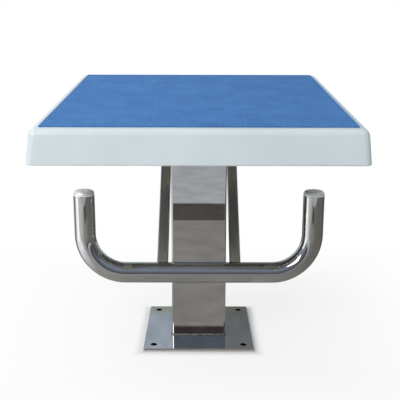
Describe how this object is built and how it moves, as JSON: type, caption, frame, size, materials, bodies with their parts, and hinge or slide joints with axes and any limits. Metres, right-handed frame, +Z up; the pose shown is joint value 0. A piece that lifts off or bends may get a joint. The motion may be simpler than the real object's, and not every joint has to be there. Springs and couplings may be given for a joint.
{
  "type": "swimming starting block",
  "caption": "Starting block for a swimming pool: a sloping anti-slip platform on a stainless column, with a U-shaped backstroke handle carried by slanting struts.",
  "frame": {"origin": "middle of the base plate's underside, on the floor", "axes": "+Z up; -Y towards the pool, the side with the handle and the platform's low edge; +X to the right as seen from the pool"},
  "size_m": [0.505, 0.5, 0.4806],
  "materials": {
    "mirror_stainless": "mirror-polished stainless steel",
    "satin_stainless": "satin stainless steel, as rolled",
    "weld_stainless": "pickled weld bead, rippled",
    "fastener_steel": "plain stainless fasteners",
    "moulded_shell": "white gelcoat on glass-fibre laminate, slightly blue",
    "anti_slip_cover": "blue, matt, fine grit",
    "batten_timber": "sealed timber"
  },
  "bodies": {
    "root": {"anti_slip_mat": "anti_slip_cover", "base_plate": "mirror_stainless", "column": "mirror_stainless", "column_base_weld": "weld_stainless", "column_flange": "satin_stainless", "column_top_weld": "weld_stainless", "deck_batten_1": "batten_timber", "deck_batten_2": "batten_timber", "deck_batten_3": "batten_timber", "deck_batten_4": "batten_timber", "deck_batten_5": "batten_timber", "frame_bearer_front": "satin_stainless", "frame_bearer_rear": "satin_stainless", "frame_bolt_front_left": "fastener_steel", "frame_bolt_front_right": "fastener_steel", "frame_bolt_rear_left": "fastener_steel", "frame_bolt_rear_right": "fastener_steel", "frame_front_rail": "satin_stainless", "frame_nut_front_left": "fastener_steel", "frame_nut_front_right": "fastener_steel", "frame_nut_rear_left": "fastener_steel", "frame_nut_rear_right": "fastener_steel", "frame_rear_rail": "satin_stainless", "frame_side_rail_left": "satin_stainless", "frame_side_rail_right": "satin_stainless", "frame_washer_front_left": "fastener_steel", "frame_washer_front_right": "fastener_steel", "frame_washer_rear_left": "fastener_steel", "frame_washer_rear_right": "fastener_steel", "handle_bar": "mirror_stainless", "handle_end_cap_left": "mirror_stainless", "handle_end_cap_right": "mirror_stainless", "platform_shell": "moulded_shell", "shell_screw_front_left": "fastener_steel", "shell_screw_front_right": "fastener_steel", "shell_screw_middle_left": "fastener_steel", "shell_screw_middle_right": "fastener_steel", "shell_screw_rear_left": "fastener_steel", "shell_screw_rear_right": "fastener_steel", "strut_bolt_left_inner": "fastener_steel", "strut_bolt_left_outer": "fastener_steel", "strut_bolt_right_inner": "fastener_steel", "strut_bolt_right_outer": "fastener_steel", "strut_left": "mirror_stainless", "strut_nut_left_inner": "fastener_steel", "strut_nut_left_outer": "fastener_steel", "strut_nut_right_inner": "fastener_steel", "strut_nut_right_outer": "fastener_steel", "strut_plate_left": "satin_stainless", "strut_plate_right": "satin_stainless", "strut_right": "mirror_stainless"}
  },
  "joints": []
}
